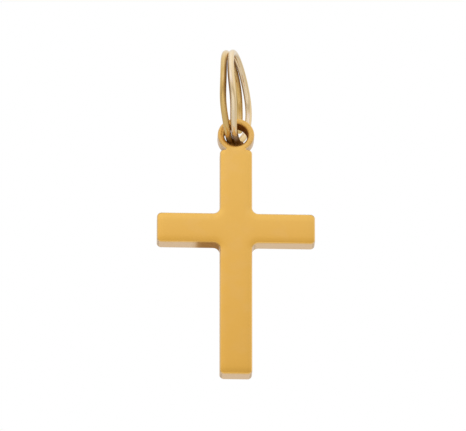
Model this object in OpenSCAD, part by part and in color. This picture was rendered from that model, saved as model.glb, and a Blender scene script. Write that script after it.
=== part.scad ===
// Cross pendant: a flat polished cross with an eyelet, hanging on a split ring.
// Millimetres, +Z up, face towards -Y. The origin is the inside top of the ring.

/* [Cross] */
// Height of the upright, from its top edge to its foot
upright_h = 18.8; // [16:0.1:24]
// Width of the upright
upright_w = 2.46; // [2.2:0.02:3.2]
// Width over both arms
arms_w = 12; // [8:0.1:16]
// Height of the arms
arm_h = 2.5; // [2:0.05:3.2]
// Distance from the upright's top edge down to the arms
arm_drop = 5.4; // [3:0.1:7]
// Thickness of the plate
plate_t = 1.1; // [0.8:0.05:1.6]
// Radius of the corners at the ends of the arms and the upright
corner_r = 0.35; // [0.2:0.05:0.8]
// Radius of the inner corners between the arms and the upright
inner_r = 0.5; // [0.2:0.05:1]
// Rounding along every edge of the plate
edge_r = 0.13; // [0.05:0.01:0.18]

/* [Eyelet] */
// Diameter of the hole that the ring passes through
hole_d = 1.8; // [1.7:0.05:2.4]
// Width of the metal round the hole
eyelet_wall = 0.5; // [0.44:0.02:0.8]
// Depth that the eyelet's round sinks into the upright's top edge
eyelet_sink = 0.165; // [0.12:0.005:0.24]
// Radius of the crook between the eyelet and the upright
crook_r = 0.05; // [0.03:0.01:0.08]

/* [Split ring] */
// Outer diameter of the ring
ring_d = 7.55; // [6:0.05:10]
// Thickness of the wire
wire_d = 0.5; // [0.4:0.01:0.6]
// Space between the two turns of wire where they stand widest apart at the ring's front
turn_gap = 0.275; // [0.1:0.005:0.36]
// Space between the two turns where they stand widest apart at the ring's back
back_gap = 0.205; // [0.1:0.005:0.36]
// Space between the two turns where they close up
close_gap = 0.02; // [0.02:0.01:0.08]
// Place where the turns close up before the ring's front, counted from its back over the top
close_at = 119; // [100:1:130]
// Place where the turns close up behind the ring's top, counted the same way
close_back = 96; // [80:1:120]
// Sideways warp of the ring out of flat, to each side
ring_warp = 0.11; // [0:0.01:0.2]
// Place where the ring warps to the right, counted the same way
warp_at = 12; // [0:1:40]
// Turn of the ring from square to the plate, its back towards +X
ring_turn = 12.5; // [0:0.5:20]
// Depth of the wire's lowest centre below the centre of the hole
wire_low = 0.22; // [0:0.01:0.3]
// Space between the wire and the hole's left wall, which it leans on
hang_gap = 0.06; // [0.03:0.01:0.12]
// Arc over which the wire steps from the first turn to the second
step_arc = 40; // [30:1:60]
// Start of the step, counted round the ring from its back through the top
step_start = 300; // [290:1:315]
// Bevel on the cut ends of the wire
end_bevel = 0.05; // [0.02:0.01:0.1]

/* [Hidden] */
$fn = 64;
wire_sides = 12;
ring_step = 6;
// Even power, which sets how much of the ring the turns stay closed up over
gap_power = 8;

hole_r = hole_d / 2;
eyelet_r = hole_r + eyelet_wall;
// Height of the hole's centre above the upright's top edge
eyelet_rise = eyelet_r - eyelet_sink;
// Crook centre, where its circle touches both the eyelet and the top edge
crook_y = -eyelet_rise + crook_r;
crook_x = sqrt(pow(eyelet_r + crook_r, 2) - pow(crook_y, 2));
crook_angle = atan2(-crook_y, crook_x);

wire_r = wire_d / 2;
ring_r = ring_d / 2 - wire_r;
ring_z = -(ring_r - wire_r);
hole_z = ring_z - ring_r + wire_low;
// The left turn leans on the hole's wall where it comes through the plate's front
lean_at = 270 - asin(plate_t / 2 / (ring_r * cos(ring_turn)));
lean_low = wire_low - ring_r * (1 + sin(lean_at));
lean_room = hole_r - wire_r / cos(ring_turn) - hang_gap;
ring_x = -sqrt(pow(lean_room, 2) - pow(lean_low, 2))
    - ring_r * cos(lean_at) * sin(ring_turn) - side_shift(lean_at) * cos(ring_turn);

// Rectangle with all four corners rounded by the edge radius
module rounded_section(w, h) {
    square([w - 2 * edge_r, h], center = true);
    square([w, h - 2 * edge_r], center = true);
    for (x = [-1, 1], y = [-1, 1])
        translate([x * (w / 2 - edge_r), y * (h / 2 - edge_r)]) circle(edge_r);
}

// Flat bar lying in XY with round corners and rounded edges
module flat_bar(w, h) {
    rotate([90, 0, 0])
        linear_extrude(h - 2 * corner_r, center = true) rounded_section(w, plate_t);
    rotate([90, 0, 90])
        linear_extrude(w - 2 * corner_r, center = true) rounded_section(h, plate_t);
    for (x = [-1, 1], y = [-1, 1])
        translate([x * (w / 2 - corner_r), y * (h / 2 - corner_r), 0])
            rotate_extrude() intersection() {
                rounded_section(2 * corner_r, plate_t);
                translate([0, -plate_t]) square([corner_r, 2 * plate_t]);
            }
}

// Web with a hollow round of radius r, which fills a corner from start to end
module hollow_corner(r, w, start, end) {
    rotate([0, 0, start])
        rotate_extrude(angle = end - start)
            translate([r + w / 2, 0]) rounded_section(w, plate_t);
}

module inner_corners() {
    web = (inner_r + edge_r) * sqrt(2) + edge_r - inner_r;
    for (x = [0, 1], y = [0, 1])
        mirror([x, 0, 0]) mirror([0, y, 0])
            translate([upright_w / 2 + inner_r, arm_h / 2 + inner_r, 0])
                hollow_corner(inner_r, web, 180, 270);
}

module neck() {
    half_w = crook_x - crook_r - 1.4 * edge_r;
    top_y = -(hole_r + 1.5 * edge_r);
    low_y = -(eyelet_rise + 2 * edge_r);
    translate([-half_w, low_y, -plate_t / 2]) cube([2 * half_w, top_y - low_y, plate_t]);
    for (x = [0, 1])
        mirror([x, 0, 0])
            translate([crook_x, crook_y, 0])
                hollow_corner(crook_r, eyelet_wall - edge_r, 180 - crook_angle, 270);
}

// The cross lies in XY with the hole's centre at zero, then stands up on its foot
module cross() {
    color("goldenrod")
        translate([0, 0, hole_z])
            rotate([90, 0, 0]) {
                rotate_extrude()
                    translate([hole_r + eyelet_wall / 2, 0]) rounded_section(eyelet_wall, plate_t);
                neck();
                translate([0, -eyelet_rise - upright_h / 2, 0]) flat_bar(upright_w, upright_h);
                translate([0, -eyelet_rise - arm_drop - arm_h / 2, 0]) {
                    flat_bar(arms_w, arm_h);
                    inner_corners();
                }
            }
}

// One wire of two turns. Angles run from the back of the ring (0) over its top
// (90) and its front (180) to the bottom (270), first at the left, then at the right.
ring_out = [sin(ring_turn), cos(ring_turn), 0];
ring_side = [cos(ring_turn), -sin(ring_turn), 0];
ring_up = [0, 0, 1];
wire_from = step_start + step_arc - 360;
wire_to = step_start + 360;
bevel_arc = end_bevel / ring_r * 180 / PI;
wire_steps = round((wire_to - wire_from - 2 * bevel_arc) / ring_step);
wire_angles = concat(
    [wire_from],
    [for (i = [0 : wire_steps])
        wire_from + bevel_arc + (wire_to - wire_from - 2 * bevel_arc) * i / wire_steps],
    [wire_to]);

// Share of the step that is done at angle a: 0 on the first turn, 1 on the second
function step_share(a) = min(1, max(0, (a - step_start) / step_arc));
// Blends a value for the ring's front with one for its back
function front_to_back(a, front, back) = (front + back - (front - back) * cos(a)) / 2;
// Distance between the two turns at angle a, from closed up to widest apart
function turn_pitch(a) =
    let (widest = front_to_back(a, turn_gap, back_gap),
         closed = front_to_back(a, close_at, close_back))
    wire_d + close_gap + (widest - close_gap) * pow(sin(a - closed), gap_power);
function side_shift(a) =
    ring_warp * cos(2 * (a - warp_at)) - turn_pitch(a) / 2 * cos(180 * step_share(a));
function ring_radial(a) = cos(a) * ring_out + sin(a) * ring_up;
function wire_centre(a) =
    [ring_x, 0, ring_z] + ring_r * ring_radial(a) + side_shift(a) * ring_side;
function wire_along(a) =
    let (d = wire_centre(a + 0.5) - wire_centre(a - 0.5)) d / norm(d);
function wire_circle(a, r) =
    let (c = wire_centre(a), n = ring_radial(a), b = cross(wire_along(a), n))
    [for (i = [0 : wire_sides - 1])
        let (t = 360 * (i + 0.5) / wire_sides) c + r * (cos(t) * n + sin(t) * b)];

module split_ring() {
    last = len(wire_angles) - 1;
    points = [for (i = [0 : last])
        each wire_circle(wire_angles[i], i == 0 || i == last ? wire_r - end_bevel : wire_r)];
    sides = [for (i = [0 : last - 1], j = [0 : wire_sides - 1])
        let (k = (j + 1) % wire_sides)
        each [[i * wire_sides + k, i * wire_sides + j, (i + 1) * wire_sides + j],
              [i * wire_sides + k, (i + 1) * wire_sides + j, (i + 1) * wire_sides + k]]];
    first_end = [for (j = [0 : wire_sides - 1]) j];
    last_end = [for (j = [wire_sides - 1 : -1 : 0]) last * wire_sides + j];
    color("gold") polyhedron(points, concat(sides, [first_end, last_end]), convexity = 6);
}

cross();
split_ring();
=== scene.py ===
import math

import bpy
from mathutils import Matrix, Vector
from mathutils.geometry import delaunay_2d_cdt


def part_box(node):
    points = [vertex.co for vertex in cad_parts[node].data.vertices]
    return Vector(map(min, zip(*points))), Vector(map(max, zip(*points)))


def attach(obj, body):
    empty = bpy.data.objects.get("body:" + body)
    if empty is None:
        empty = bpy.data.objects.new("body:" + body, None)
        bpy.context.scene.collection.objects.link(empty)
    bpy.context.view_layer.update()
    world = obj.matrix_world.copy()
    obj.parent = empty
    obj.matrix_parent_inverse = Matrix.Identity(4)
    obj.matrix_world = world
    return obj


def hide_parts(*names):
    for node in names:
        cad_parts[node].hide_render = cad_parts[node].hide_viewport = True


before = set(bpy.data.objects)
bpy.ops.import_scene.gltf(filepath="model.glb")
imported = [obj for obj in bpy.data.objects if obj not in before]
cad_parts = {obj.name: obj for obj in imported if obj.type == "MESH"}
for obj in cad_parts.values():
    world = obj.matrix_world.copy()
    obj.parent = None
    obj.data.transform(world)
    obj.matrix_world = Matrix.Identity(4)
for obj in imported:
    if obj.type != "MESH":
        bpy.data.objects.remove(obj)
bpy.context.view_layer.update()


# The cross: one flat plate of stainless steel, blanked out with its eyelet and then
# tumbled, so every edge is softly round and the faces fall away a little towards it.
# It is polished and plated in gold, and the split ring runs in the hole of the eyelet.
MM = 0.001
upright_h, upright_w = 18.8, 2.46
arms_w, arm_h, arm_drop = 12.0, 2.5, 5.4
plate_t, corner_r, inner_r, edge_r = 1.1, 0.35, 0.5, 0.13
hole_d, eyelet_wall, eyelet_sink, crook_r = 1.8, 0.5, 0.165, 0.05
hole_r = hole_d / 2
eyelet_r = hole_r + eyelet_wall
eyelet_rise = eyelet_r - eyelet_sink
hole_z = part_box("cross")[1].z / MM - eyelet_r
# The tumbled faces: how deep they fall, and over what width from the edge
bar_fall, fall_width, crown, crown_width = 0.022, 0.5, 0.016, 1.1
rim_fall, rim_width, shoulder_fall, shoulder_width = 0.02, 0.2, 0.02, 0.3
shoulder_from, shoulder_to = 0.75, 1.0
# Heights above the upright's top edge where the bar's fall ends and the eyelet's begins
bar_fall_ends, rim_fall_starts = (-0.1, 0.35), (0.2, 0.5)
# Shares of wear on the eyelet's face and of painted shade, in brown, under the left arm, and the
# places where they come in
ring_rub, ring_rub_height = 0.1, 0.4
under_arm_brown, brown_turn, brown_from, brown_to = 0.7, (0.1, 0.6), -3.3, -2.7
corner_steps, eyelet_steps, round_steps, straight_step = 12, 96, 8, 0.3
face_step, face_inset, neck_gap = 0.14, 0.06, 0.1
same_place, same_corner = 1e-5, 1e-6


def plan_arc(x, z, radius, start, end, steps=corner_steps):
    """Points along an arc of the plan, each with its direction out of the metal.
    An arc that runs clockwise bulges, and one that runs the other way is hollow."""
    out = 1 if end < start else -1
    arc = []
    for i in range(steps + 1):
        turn = math.radians(start + (end - start) * i / steps)
        ray = Vector((math.cos(turn), math.sin(turn)))
        arc.append((Vector((x, z)) + radius * ray, out * ray))
    return arc


def cross_outline():
    """The plan of the whole blank, clockwise from the top of the eyelet."""
    half_w, top = upright_w / 2, -eyelet_rise
    foot = top - upright_h
    arm_top = top - arm_drop
    arm_low = arm_top - arm_h
    crook_z = top + crook_r
    crook_x = math.sqrt((eyelet_r + crook_r) ** 2 - crook_z ** 2)
    crook_turn = math.degrees(math.atan2(-crook_z, crook_x))
    tip_x = arms_w / 2 - corner_r
    right = (
        plan_arc(0, 0, eyelet_r, 90, -crook_turn, eyelet_steps)
        + plan_arc(crook_x, crook_z, crook_r, 180 - crook_turn, 270)
        + plan_arc(half_w - corner_r, top - corner_r, corner_r, 90, 0)
        + plan_arc(half_w + inner_r, arm_top + inner_r, inner_r, 180, 270)
        + plan_arc(tip_x, arm_top - corner_r, corner_r, 90, 0)
        + plan_arc(tip_x, arm_low + corner_r, corner_r, 0, -90)
        + plan_arc(half_w + inner_r, arm_low - inner_r, inner_r, 90, 180)
        + plan_arc(half_w - corner_r, foot + corner_r, corner_r, 0, -90)
    )
    left = [(Vector((-p.x, p.y)), Vector((-n.x, n.y))) for p, n in reversed(right[1:])]
    corners = right + left
    outline = []
    for (p, n), (q, m) in zip(corners, corners[1:] + corners[:1]):
        pieces = max(1, math.ceil((q - p).length / straight_step))
        for i in range(pieces):
            share = i / pieces
            if (q - p).length > same_place:
                outline.append((p.lerp(q, share), n.lerp(m, share).normalized()))
    return outline


def smooth(value, start, end):
    """Rises softly from 0 at the start to 1 at the end."""
    share = min(1, max(0, (value - start) / (end - start)))
    return share * share * (3 - 2 * share)


def fall(inside, width, deep):
    """Depth of a round fall, from deep at its edge to nothing at its width inside it."""
    return deep * max(0, 1 - inside / width) ** 2


def bar_sink(inside):
    """How far a bar's face lies back at a distance inside one of its edges."""
    return fall(inside, fall_width, bar_fall) + fall(inside, crown_width, crown)


def face_sink(x, z):
    """How far the tumbled face lies back from the flat at a place of the plan."""
    top = -eyelet_rise
    arm_mid = top - arm_drop - arm_h / 2
    corner_x = upright_w / 2 + inner_r
    corner_z = arm_h / 2 + inner_r
    across, along = abs(x), abs(z - arm_mid)
    if across < corner_x and along < corner_z:
        return bar_sink(math.hypot(corner_x - across, corner_z - along) - inner_r - edge_r)
    if across >= corner_x:
        return bar_sink(arm_h / 2 - edge_r - along) + bar_sink(arms_w / 2 - edge_r - across)
    side = bar_sink(upright_w / 2 - edge_r - across)
    if z < arm_mid:
        return side + bar_sink(z - edge_r - (top - upright_h))
    radius, above_bar = math.hypot(x, z), z - top
    shoulder = fall(-above_bar - edge_r, shoulder_width, shoulder_fall)
    bar = side + shoulder * smooth(across, shoulder_from, shoulder_to)
    hole_rim = fall(radius - hole_r - edge_r, rim_width, rim_fall)
    eyelet_rim = fall(max(0, eyelet_r - edge_r - radius), rim_width, rim_fall)
    return (bar * (1 - smooth(above_bar, *bar_fall_ends)) + hole_rim
            + eyelet_rim * smooth(above_bar, *rim_fall_starts))


def sink_slope(x, z, step=0.01):
    """How steeply the face falls back, along X and along Z."""
    return Vector(((face_sink(x + step, z) - face_sink(x - step, z)) / (2 * step), 0,
                   (face_sink(x, z + step) - face_sink(x, z - step)) / (2 * step)))


def edge_profile():
    """Rows round the rim of the plate, front to back: how far out, how deep, and the tilt."""
    rows = []
    for side, start in ((-1, 0), (1, 90)):
        for i in range(round_steps + 1):
            tilt = math.radians(start + 90 * i / round_steps)
            depth = side * (plate_t / 2 - edge_r) - edge_r * math.cos(tilt)
            rows.append((edge_r * (math.sin(tilt) - 1), depth, tilt))
    return rows


class Shape:
    """Points and faces given in millimetres, with the surface's true direction at every
    corner, and each point's marks: its share of the pale colour, for painted highlight,
    painted reflection and wear, and of the brown, for painted shade and wear."""

    def __init__(self):
        self.points, self.marks, self.faces, self.normals = [], [], [], []

    def point(self, place, sheen_and_wear=0.0, shade_and_wear=0.0):
        self.points.append(Vector(place) * MM)
        self.marks.append((sheen_and_wear, shade_and_wear))
        return len(self.points) - 1

    def face(self, corners, normals):
        a, b, c = (self.points[i] for i in corners[:3])
        turned = (b - a).cross(c - a).dot(sum(normals, Vector((0, 0, 0)))) < 0
        step = -1 if turned else 1
        self.faces.append(tuple(corners[::step]))
        self.normals.extend(normals[::step])

    def build(self, name, material):
        mesh = bpy.data.meshes.new(name)
        mesh.from_pydata(self.points, [], self.faces)
        mesh.polygons.foreach_set("use_smooth", [True] * len(self.faces))
        for i, mark in enumerate(("sheen_and_wear", "shade_and_wear")):
            held = mesh.attributes.new(mark, "FLOAT", "POINT")
            held.data.foreach_set("value", [m[i] for m in self.marks])
        mesh.normals_split_custom_set(self.normals)
        mesh.materials.append(material)
        piece = bpy.data.objects.new(name, mesh)
        bpy.context.scene.collection.objects.link(piece)
        return piece


def eyelet_wear(z):
    """The ring wears the eyelet's face, so its plating is thinner and duller."""
    return ring_rub * smooth(z + eyelet_rise, 0, ring_rub_height)


def wall_painted_shade(p, n):
    """Share of painted shade, in brown, on a wall: all through the hole, and under the left arm.
    """
    if p.length < hole_r + edge_r:
        return 1.0
    if abs(p.y + eyelet_rise + arm_drop + arm_h) > inner_r or p.x > 0:
        return 0.0
    return under_arm_brown * smooth(-n.y, *brown_turn) * smooth(p.x, brown_from, brown_to)


def add_rim(shape, loop):
    """Wraps the plate's edge profile along a closed loop and returns its first and last rows."""
    rings, slopes = [], []
    for out, depth, tilt in edge_profile():
        front = math.cos(tilt)
        ring, slope = [], []
        for p, n in loop:
            x, z = p.x + n.x * out, p.y + n.y * out
            back = face_sink(x, z) * (1 - math.sin(tilt)) * (1 if front > 0 else -1)
            # Walls are painted paler as a painted reflection of the pale floor below; the hole's
            # wall and the wall under the left arm are painted brown as painted shade.
            wall, wear = math.sin(tilt) ** 2, eyelet_wear(z)
            brown = wall_painted_shade(p, n) * wall ** 0.5
            ring.append(shape.point((x, depth + back, hole_z + z),
                                    max(wall, wear) * (1 - brown), max(brown, wear)))
            lean = Vector((n.x * math.sin(tilt), -front, n.y * math.sin(tilt)))
            slope.append((lean + abs(front) * sink_slope(x, z)).normalized())
        rings.append(ring)
        slopes.append(slope)
    for j in range(len(rings) - 1):
        for i in range(len(loop)):
            k = (i + 1) % len(loop)
            shape.face([rings[j][i], rings[j][k], rings[j + 1][k], rings[j + 1][i]],
                       [slopes[j][i], slopes[j][k], slopes[j + 1][k], slopes[j + 1][i]])
    return rings[0], rings[-1]


def face_grid():
    """Places over the plate's face, a little inside its edges, in the plan of the hole."""
    inset = edge_r + face_inset
    top = -eyelet_rise
    arm_mid = top - arm_drop - arm_h / 2
    places = []
    for i in range(int(arms_w / face_step) + 1):
        for j in range(int((eyelet_r + eyelet_rise + upright_h) / face_step) + 1):
            x = -arms_w / 2 + (i + 0.5 * (j % 2)) * face_step
            z = eyelet_r - j * face_step
            radius = math.hypot(x, z)
            in_upright = (abs(x) < upright_w / 2 - inset and radius > hole_r + inset
                          and top - upright_h + inset < z < top - neck_gap)
            in_arms = abs(x) < arms_w / 2 - inset and abs(z - arm_mid) < arm_h / 2 - inset
            in_eyelet = hole_r + inset < radius < eyelet_r - inset
            if in_upright or in_arms or in_eyelet:
                places.append(Vector((x, z)))
    return places


def add_faces(shape, outer, hole):
    """Fills the front and the back of the plate between its outline and its hole."""
    grid = face_grid()
    for row, front in ((0, -1), (1, 1)):
        corners = outer[row] + hole[row]
        plan = [Vector((shape.points[i].x / MM, shape.points[i].z / MM - hole_z)) for i in corners]
        edges = []
        for start, count in ((0, len(outer[row])), (len(outer[row]), len(hole[row]))):
            edges += [(start + i, start + (i + 1) % count) for i in range(count)]
        corners += [
            shape.point((p.x, front * (plate_t / 2 - face_sink(p.x, p.y)), hole_z + p.y),
                        eyelet_wear(p.y), eyelet_wear(p.y))
            for p in grid]
        plan += grid
        lean = [(Vector((0, front, 0)) + sink_slope(p.x, p.y)).normalized() for p in plan]
        _, _, triangles, origins, _, _ = delaunay_2d_cdt(plan, edges, [], 1, same_corner)
        source = [origin[0] for origin in origins]
        for triangle in triangles:
            ids = [source[i] for i in triangle]
            middle = sum((plan[i] for i in ids), Vector((0, 0))) / 3
            if middle.length > hole_r + edge_r:
                shape.face([corners[i] for i in ids], [lean[i] for i in ids])


def cross_shape():
    shape = Shape()
    outer = add_rim(shape, cross_outline())
    hole = add_rim(shape, [(p, -n) for p, n in plan_arc(0, 0, hole_r, 360, 0, eyelet_steps)[:-1]])
    add_faces(shape, outer, hole)
    return shape


def add_nodes(tree, kinds):
    """Adds nodes by name, {name: (type, {property: value}, {socket: value})}, and returns them."""
    made = {}
    for name, (kind, settings, sockets) in kinds.items():
        node = tree.nodes.new(kind)
        node.name = node.label = name
        for key, value in settings.items():
            setattr(node, key, value)
        for key, value in sockets.items():
            node.inputs[key].default_value = value
        made[name] = node
    return made


def join(tree, *pairs):
    """Links (node, output) to (node, input) for each pair."""
    for (source, output), (target, socket) in pairs:
        tree.links.new(source.outputs[output], target.inputs[socket])


def marks_and_painted_light_group():
    """Fine marks of the polishing wheel, the soft unevenness that it leaves, a pale colour
    for painted highlight, painted reflection and wear, and a matt brown for painted shade
    and wear, which covers the metal by its share."""
    shade_roughness, shade_cover = 0.35, 0.85
    group = bpy.data.node_groups.new("marks_and_painted_light", "ShaderNodeTree")
    for name, kind, value in (
        ("Metal", "NodeSocketColor", (0.9, 0.6, 0.2, 1)),
        ("Sheen And Wear", "NodeSocketColor", (0.9, 0.7, 0.4, 1)),
        ("Sheen And Wear Share", "NodeSocketFloat", 0.0),
        ("Shade And Wear", "NodeSocketColor", (0.1, 0.04, 0.01, 1)),
        ("Shade And Wear Share", "NodeSocketFloat", 0.0),
        ("Roughness", "NodeSocketFloat", 0.2),
        ("Marks Size", "NodeSocketFloat", 6.0),
        ("Marks Depth", "NodeSocketFloat", 0.1),
        ("Wave Depth", "NodeSocketFloat", 0.1),
    ):
        socket = group.interface.new_socket(name, in_out="INPUT", socket_type=kind)
        socket.default_value = value
    for name, kind in (("Color", "NodeSocketColor"), ("Metallic", "NodeSocketFloat"),
                       ("Roughness", "NodeSocketFloat"), ("Normal", "NodeSocketVector")):
        group.interface.new_socket(name, in_out="OUTPUT", socket_type=kind)
    n = add_nodes(group, {
        "in": ("NodeGroupInput", {}, {}),
        "out": ("NodeGroupOutput", {}, {}),
        "place": ("ShaderNodeTexCoord", {}, {}),
        "to_mm": ("ShaderNodeVectorMath", {"operation": "SCALE"}, {"Scale": 1 / MM}),
        "lay": ("ShaderNodeMapping", {}, {"Scale": (1.0, 1.0, 0.12)}),
        "hairs": ("ShaderNodeTexNoise", {}, {"Detail": 3.0, "Roughness": 0.6}),
        "waves": ("ShaderNodeTexNoise", {}, {"Scale": 0.55, "Detail": 1.5}),
        "cloud": ("ShaderNodeTexNoise", {}, {"Scale": 0.9, "Detail": 4.0}),
        "tone": ("ShaderNodeMapRange", {}, {"From Min": 0.35, "From Max": 0.65,
                                            "To Min": -0.05, "To Max": 0.05}),
        # The pale mix paints highlight, reflection and wear; the brown mix paints shade and wear
        "pale": ("ShaderNodeMath", {"operation": "ADD", "use_clamp": True}, {}),
        "colour": ("ShaderNodeMix", {"data_type": "RGBA"}, {}),
        "shaded": ("ShaderNodeMix", {"data_type": "RGBA"}, {}),
        "dull": ("ShaderNodeMapRange", {}, {"From Min": 0.3, "From Max": 0.7,
                                            "To Min": 0.88, "To Max": 1.12}),
        "rough": ("ShaderNodeMath", {"operation": "MULTIPLY"}, {}),
        "matt": ("ShaderNodeMath", {"operation": "MULTIPLY_ADD"}, {1: shade_roughness}),
        "bare": ("ShaderNodeMath", {"operation": "MULTIPLY_ADD"}, {1: -shade_cover, 2: 1.0}),
        "wave_bump": ("ShaderNodeBump", {}, {"Distance": 0.02 * MM}),
        "hair_bump": ("ShaderNodeBump", {}, {"Distance": 0.004 * MM}),
    })
    join(group,
         ((n["place"], "Object"), (n["to_mm"], 0)),
         ((n["to_mm"], 0), (n["lay"], "Vector")),
         ((n["lay"], 0), (n["hairs"], "Vector")),
         ((n["in"], "Marks Size"), (n["hairs"], "Scale")),
         ((n["to_mm"], 0), (n["waves"], "Vector")),
         ((n["to_mm"], 0), (n["cloud"], "Vector")),
         ((n["cloud"], 0), (n["tone"], "Value")),
         ((n["in"], "Sheen And Wear Share"), (n["pale"], 0)),
         ((n["tone"], 0), (n["pale"], 1)),
         ((n["pale"], 0), (n["colour"], "Factor")),
         ((n["in"], "Metal"), (n["colour"], "A")),
         ((n["in"], "Sheen And Wear"), (n["colour"], "B")),
         ((n["in"], "Shade And Wear Share"), (n["shaded"], "Factor")),
         ((n["colour"], "Result"), (n["shaded"], "A")),
         ((n["in"], "Shade And Wear"), (n["shaded"], "B")),
         ((n["shaded"], "Result"), (n["out"], "Color")),
         ((n["hairs"], 0), (n["dull"], "Value")),
         ((n["in"], "Roughness"), (n["rough"], 0)),
         ((n["dull"], 0), (n["rough"], 1)),
         ((n["in"], "Shade And Wear Share"), (n["matt"], 0)),
         ((n["rough"], 0), (n["matt"], 2)),
         ((n["matt"], 0), (n["out"], "Roughness")),
         ((n["in"], "Shade And Wear Share"), (n["bare"], 0)),
         ((n["bare"], 0), (n["out"], "Metallic")),
         ((n["in"], "Wave Depth"), (n["wave_bump"], "Strength")),
         ((n["waves"], 0), (n["wave_bump"], "Height")),
         ((n["wave_bump"], 0), (n["hair_bump"], "Normal")),
         ((n["in"], "Marks Depth"), (n["hair_bump"], "Strength")),
         ((n["hairs"], 0), (n["hair_bump"], "Height")),
         ((n["hair_bump"], 0), (n["out"], "Normal")))
    return group


def plated_gold(name, marks_and_painted_light, finish):
    """Gold plating, which follows the marks on the mesh: painted highlight, painted reflection,
    painted shade and wear. The finish sets the inputs of the group that paints them."""
    material = bpy.data.materials.new(name)
    material.use_nodes = True
    tree = material.node_tree
    gold = tree.nodes["Principled BSDF"]
    gold.inputs["Specular IOR Level"].default_value = 0.0
    n = add_nodes(tree, {
        "pale": ("ShaderNodeAttribute", {"attribute_name": "sheen_and_wear"}, {}),
        "shade_and_wear": ("ShaderNodeAttribute", {"attribute_name": "shade_and_wear"}, {}),
        "marks": ("ShaderNodeGroup", {"node_tree": marks_and_painted_light}, finish),
    })
    join(tree,
         ((n["pale"], "Fac"), (n["marks"], "Sheen And Wear Share")),
         ((n["shade_and_wear"], "Fac"), (n["marks"], "Shade And Wear Share")),
         ((n["marks"], "Color"), (gold, "Base Color")),
         ((n["marks"], "Metallic"), (gold, "Metallic")),
         ((n["marks"], "Roughness"), (gold, "Roughness")),
         ((n["marks"], "Normal"), (gold, "Normal")))
    return material


marks_and_painted_light = marks_and_painted_light_group()
# Deep gold on the polished faces; the walls are painted paler as a painted reflection of
# the pale floor, and the hole and the wall under the left arm dark brown as painted shade
cross_gold = plated_gold("cross_gold", marks_and_painted_light, {
    "Metal": (0.92, 0.555, 0.125, 1), "Sheen And Wear": (0.90, 0.66, 0.42, 1),
    "Shade And Wear": (0.26, 0.078, 0.003, 1), "Roughness": 0.2, "Marks Size": 7.0,
    "Marks Depth": 0.12, "Wave Depth": 0.25})
cross = cross_shape().build("gold_cross", cross_gold)
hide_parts("cross")
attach(cross, "cross")


# The split ring: one round wire of gold-plated steel wound into two turns that lie
# side by side, with a step where the first turn passes over into the second. Both
# ends are cut square and lightly bevelled. It is only sprung on, and nothing is soldered.
ring_d, wire_d = 7.55, 0.5
# How far the turns stand apart at the ring's front and back, how near they close up,
# over how much of the round, and where: places are degrees from its back over its top
turn_gap, back_gap, close_gap, gap_power = 0.275, 0.205, 0.02, 8
close_at, close_back = 119.0, 96.0
# How the ring hangs: turned from square to the plate, warped, and leaning to the left
ring_turn, ring_warp, warp_at, ring_x = 12.5, 0.11, 12.0, -0.10181
step_start, step_arc, end_bevel = 300.0, 40.0, 0.05
wire_sides, wire_step = 32, 2.5
# Painted shade between the turns, on the flanks that face each other, which starts on both
# sides of the ring's top and fades towards its bottom, and on the wires in the hole
brown_middle, brown_starts, brown_fades, brown_fade = 115, (14, 52), (70, 108), 0.75
brown_turned, front_brown, back_brown = (0.15, 0.65), 0.85, 0.493
hole_brown_starts, hole_brown_ends = (246, 270), (300, 318)
# Painted highlight in the pale colour: even over the top of both turns, else along the right
# turn alone
top_sheen_at, top_sheen_width, top_sheen, top_sheen_blend = 105, 42, 0.6, 0.75
side_sheen, rim_sheen, rim_narrowness = 0.45, 0.55, 6
wire_r = wire_d / 2
ring_r = ring_d / 2 - wire_r
ring_z = -(ring_r - wire_r)
turned = math.radians(ring_turn)
ring_out = Vector((math.sin(turned), math.cos(turned), 0))
ring_side = Vector((math.cos(turned), -math.sin(turned), 0))


def ring_ray(angle):
    """Direction from the ring's centre: back at 0, top at 90, front at 180."""
    turn = math.radians(angle)
    return math.cos(turn) * ring_out + math.sin(turn) * Vector((0, 0, 1))


def turn_side(angle):
    """-1 on the left turn, 1 on the right turn, and between them on the step."""
    return -math.cos(math.pi * min(1, max(0, (angle - step_start) / step_arc)))


def front_to_back(angle, front, back):
    """Blends a value for the ring's front with one for its back."""
    share = (1 - math.cos(math.radians(angle))) / 2
    return front * share + back * (1 - share)


def wire_centre(angle):
    """Middle of the wire: on the ring's round, warped, and shifted to its own turn's side."""
    widest = front_to_back(angle, turn_gap, back_gap)
    closed = front_to_back(angle, close_at, close_back)
    apart = math.sin(math.radians(angle - closed)) ** gap_power
    pitch = wire_d + close_gap + (widest - close_gap) * apart
    warp = ring_warp * math.cos(math.radians(2 * (angle - warp_at)))
    shift = warp + pitch / 2 * turn_side(angle)
    return Vector((ring_x, 0, ring_z)) + ring_r * ring_ray(angle) + shift * ring_side


def wire_run(angle):
    """Direction in which the wire runs."""
    return (wire_centre(angle + 0.5) - wire_centre(angle - 0.5)).normalized()


def wire_painted_shade(angle, ray):
    """Painted shade between the turns, on the flanks that face each other, and where the
    wires run in the eyelet's hole.
    """
    place = angle % 360
    from_top = abs(place - brown_middle)
    facing = smooth(-turn_side(angle) * ray.dot(ring_side), *brown_turned)
    along = smooth(from_top, *brown_starts) * (1 - brown_fade * smooth(from_top, *brown_fades))
    in_hole = smooth(place, *hole_brown_starts) * (1 - smooth(place, *hole_brown_ends))
    return min(1, front_to_back(angle, front_brown, back_brown) * facing * along + in_hole)


def wire_sheen(angle, ray):
    """Share of the pale colour, a painted highlight: little on the left turn, more along the
    outside and the inside of the right turn, and even over the top of both turns."""
    rim = ray.dot(ring_ray(angle)) ** rim_narrowness
    right = (1 + turn_side(angle)) / 2 * (side_sheen + rim_sheen * rim)
    over_top = top_sheen_blend * math.exp(-((angle % 360 - top_sheen_at) / top_sheen_width) ** 2)
    return right + (top_sheen - right) * over_top


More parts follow.
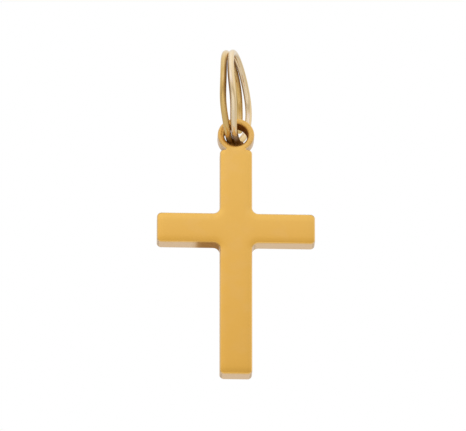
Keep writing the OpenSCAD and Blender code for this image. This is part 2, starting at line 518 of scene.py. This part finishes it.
def ring_shape():
    shape = Shape()
    start, end = step_start + step_arc - 360, step_start + 360
    bevel = math.degrees(end_bevel / ring_r)
    count = round((end - start - 2 * bevel) / wire_step)
    stations = [(start, wire_r - end_bevel, -1)]
    for i in range(count + 1):
        stations.append((start + bevel + (end - start - 2 * bevel) * i / count, wire_r, 0))
    stations.append((end, wire_r - end_bevel, 1))
    rings, rays = [], []
    for angle, radius, _ in stations:
        out = ring_ray(angle)
        side = wire_run(angle).cross(out).normalized()
        turns = [2 * math.pi * (i + 0.5) / wire_sides for i in range(wire_sides)]
        rays.append([math.cos(t) * out + math.sin(t) * side for t in turns])
        rings.append([shape.point(wire_centre(angle) + radius * ray, wire_sheen(angle, ray),
                                  wire_painted_shade(angle, ray)) for ray in rays[-1]])
    for j in range(len(stations) - 1):
        cut = stations[j][2] or stations[j + 1][2]
        along = cut * wire_run(stations[j][0])
        for i in range(wire_sides):
            k = (i + 1) % wire_sides
            corners = [(j, i), (j, k), (j + 1, k), (j + 1, i)]
            shape.face([rings[a][b] for a, b in corners],
                       [(rays[a][b] + along).normalized() for a, b in corners])
    for j, cut in ((0, -1), (len(stations) - 1, 1)):
        shape.face(rings[j], [cut * wire_run(stations[j][0])] * wire_sides)
    return shape


# Greener gold than the cross's on the left turn; the right turn and the top are painted
# very pale as a painted highlight, and the brown is painted shade
ring_gold = plated_gold("ring_gold", marks_and_painted_light, {
    "Metal": (0.79, 0.545, 0.205, 1), "Sheen And Wear": (0.97, 0.82, 0.60, 1),
    "Shade And Wear": (0.235, 0.085, 0.001, 1), "Roughness": 0.1, "Marks Size": 9.0,
    "Marks Depth": 0.1, "Wave Depth": 0.15})
ring = ring_shape().build("wire_ring", ring_gold)
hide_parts("split_ring")
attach(ring, "ring")


# The studio: a plain pale floor far below the hanging pendant, a white tent all round,
# and two glowing cards in front of it, one high and one low, which the gold mirrors. The
# camera doesn't see the cards, so they don't stand before the pendant in any view.
def set_stops(ramp_node, stops):
    """Gives a colour ramp its stops, each a place from 0 to 1 and a colour."""
    ramp = ramp_node.color_ramp
    while len(ramp.elements) < len(stops):
        ramp.elements.new(0.5)
    for element, (place, colour) in zip(ramp.elements, stops):
        element.position, element.color = place, (*colour, 1)


def studio_card(name, centre, facing, width, height, stops, strength, side_fade):
    """A glowing card with a soft gradient from its low edge (0) to its top edge (1), and
    a fade in strength over its width."""
    mesh = bpy.data.meshes.new(name)
    w, h = width / 2 * MM, height / 2 * MM
    mesh.from_pydata([(-w, -h, 0), (w, -h, 0), (w, h, 0), (-w, h, 0)], [], [(0, 1, 2, 3)])
    mesh.uv_layers.new(name="card")
    for loop, place in zip(mesh.uv_layers["card"].data, ((0, 0), (1, 0), (1, 1), (0, 1))):
        loop.uv = place
    material = bpy.data.materials.new(name)
    material.use_nodes = True
    tree = material.node_tree
    tree.nodes.clear()
    n = add_nodes(tree, {
        "place": ("ShaderNodeUVMap", {"uv_map": "card"}, {}),
        "split": ("ShaderNodeSeparateXYZ", {}, {}),
        "ramp": ("ShaderNodeValToRGB", {}, {}),
        "fade": ("ShaderNodeMapRange", {}, {"To Min": strength * (1 + side_fade),
                                            "To Max": strength * (1 - side_fade)}),
        "glow": ("ShaderNodeEmission", {}, {}),
        "surface": ("ShaderNodeOutputMaterial", {}, {}),
    })
    set_stops(n["ramp"], stops)
    join(tree,
         ((n["place"], 0), (n["split"], 0)),
         ((n["split"], "Y"), (n["ramp"], 0)),
         ((n["split"], "X"), (n["fade"], "Value")),
         ((n["fade"], 0), (n["glow"], "Strength")),
         ((n["ramp"], 0), (n["glow"], "Color")),
         ((n["glow"], 0), (n["surface"], "Surface")))
    mesh.materials.append(material)
    card = bpy.data.objects.new(name, mesh)
    bpy.context.scene.collection.objects.link(card)
    card.location = Vector(centre) * MM
    card.rotation_euler = Vector(facing).to_track_quat("Z", "Y").to_euler()
    card.visible_camera = False
    card.visible_shadow = False


def floor_sheet():
    """A sheet of pale paper with a faint fibre."""
    mesh = bpy.data.meshes.new("floor")
    half, floor_z = 3.0, -0.6
    mesh.from_pydata([(-half, -half, 0), (half, -half, 0), (half, half, 0), (-half, half, 0)],
                     [], [(0, 1, 2, 3)])
    material = bpy.data.materials.new("floor_paper")
    material.use_nodes = True
    tree = material.node_tree
    paper = tree.nodes["Principled BSDF"]
    paper.inputs["Roughness"].default_value = 0.9
    n = add_nodes(tree, {
        "place": ("ShaderNodeTexCoord", {}, {}),
        "fibre": ("ShaderNodeTexNoise", {}, {"Scale": 400.0, "Detail": 4.0}),
        "tone": ("ShaderNodeValToRGB", {}, {}),
    })
    n["tone"].color_ramp.elements[0].color = (0.80, 0.79, 0.77, 1)
    n["tone"].color_ramp.elements[1].color = (0.86, 0.85, 0.84, 1)
    join(tree,
         ((n["place"], "Object"), (n["fibre"], "Vector")),
         ((n["fibre"], 0), (n["tone"], 0)),
         ((n["tone"], 0), (paper, "Base Color")))
    mesh.materials.append(material)
    floor = bpy.data.objects.new("floor", mesh)
    bpy.context.scene.collection.objects.link(floor)
    floor.location = (0, 0, floor_z)


def white_surround():
    """White all round for the camera, and for reflections a tent that dims towards the floor."""
    world = bpy.data.worlds.new("white_surround")
    world.use_nodes = True
    bpy.context.scene.world = world
    tree = world.node_tree
    tree.nodes.clear()
    n = add_nodes(tree, {
        "way": ("ShaderNodeTexCoord", {}, {}),
        "split": ("ShaderNodeSeparateXYZ", {}, {}),
        "height": ("ShaderNodeMapRange", {}, {"From Min": -1.0, "From Max": 1.0}),
        "sideways": ("ShaderNodeMapRange", {}, {"From Min": -1.0, "From Max": 1.0}),
        "tent": ("ShaderNodeValToRGB", {}, {}),
        "sides": ("ShaderNodeValToRGB", {}, {}),
        "both": ("ShaderNodeMix", {"data_type": "RGBA", "blend_type": "MULTIPLY"},
                 {"Factor": 1.0}),
        "tent_light": ("ShaderNodeBackground", {}, {"Strength": 1.0}),
        "seen": ("ShaderNodeLightPath", {}, {}),
        "white": ("ShaderNodeBackground", {}, {"Color": (1, 1, 1, 1), "Strength": 1.0}),
        "mix": ("ShaderNodeMixShader", {}, {}),
        "surface": ("ShaderNodeOutputWorld", {}, {}),
    })
    set_stops(n["tent"], [
        (0.0, (0.45, 0.42, 0.38)), (0.2, (0.49, 0.47, 0.43)), (0.3, (0.53, 0.51, 0.47)),
        (0.45, (0.53, 0.51, 0.47)), (0.6, (0.72, 0.70, 0.67)), (0.75, (0.85, 0.84, 0.82)),
        (1.0, (1.0, 1.0, 1.0))])
    set_stops(n["sides"], [
        (0.0, (0.95, 0.95, 0.95)), (0.3, (0.9, 0.9, 0.9)), (0.5, (0.97, 0.97, 0.97)),
        (0.8, (1.0, 1.0, 1.0)), (1.0, (1.2, 1.2, 1.2))])
    join(tree,
         ((n["way"], "Generated"), (n["split"], 0)),
         ((n["split"], "Z"), (n["height"], "Value")),
         ((n["split"], "X"), (n["sideways"], "Value")),
         ((n["height"], 0), (n["tent"], 0)),
         ((n["sideways"], 0), (n["sides"], 0)),
         ((n["tent"], 0), (n["both"], "A")),
         ((n["sides"], 0), (n["both"], "B")),
         ((n["both"], "Result"), (n["tent_light"], "Color")),
         ((n["seen"], "Is Camera Ray"), (n["mix"], "Fac")),
         ((n["tent_light"], 0), (n["mix"], 1)),
         ((n["white"], 0), (n["mix"], 2)),
         ((n["mix"], 0), (n["surface"], "Surface")))


floor_sheet()
white_surround()
studio_card("front_card", (0, -100, 36), (0, 1, 0), width=160, height=150, stops=[
    (0.0, (0.75, 0.71, 0.65)), (0.24, (0.49, 0.44, 0.36)), (0.33, (0.61, 0.55, 0.45)),
    (0.39, (0.63, 0.57, 0.49)), (0.43, (0.68, 0.63, 0.60)), (0.465, (0.69, 0.64, 0.67)),
    (0.52, (0.72, 0.71, 0.79)), (0.62, (0.79, 0.78, 0.86)), (1.0, (0.74, 0.72, 0.73))],
    strength=1.2, side_fade=-0.15)
studio_card("low_card", (0, -100, -78), (0, 1, 0.5), width=160, height=80, stops=[
    (0.0, (0.80, 0.77, 0.72)), (1.0, (0.88, 0.85, 0.80))], strength=1.0, side_fade=0.0)


# The camera: below the pendant and a little to its left, looking up past it, as in
# the photograph, from far enough away that the upright's sides stay parallel.
look_up, look_right = math.radians(25.5), math.radians(2.0)
camera_far, frame_px, px_per_mm = 600.0, 466, 13.16
aim = Vector((-0.213, 0, hole_z - 6.586))  # what the picture's middle shows
gaze = Vector((math.sin(look_right) * math.cos(look_up),
               math.cos(look_right) * math.cos(look_up), math.sin(look_up)))
across = Vector((math.cos(look_right), -math.sin(look_right), 0))
upward = across.cross(gaze)
lens = bpy.data.cameras.new("photo_camera")
lens.sensor_width = 36.0
lens.lens = lens.sensor_width * px_per_mm * camera_far / frame_px
lens.clip_start, lens.clip_end = 0.01, 20.0
camera = bpy.data.objects.new("photo_camera", lens)
bpy.context.scene.collection.objects.link(camera)
camera.matrix_world = Matrix((across, upward, -gaze)).transposed().to_4x4()
camera.location = (aim - gaze * camera_far) * MM
bpy.context.scene.camera = camera
bpy.context.scene.view_settings.view_transform = "Standard"
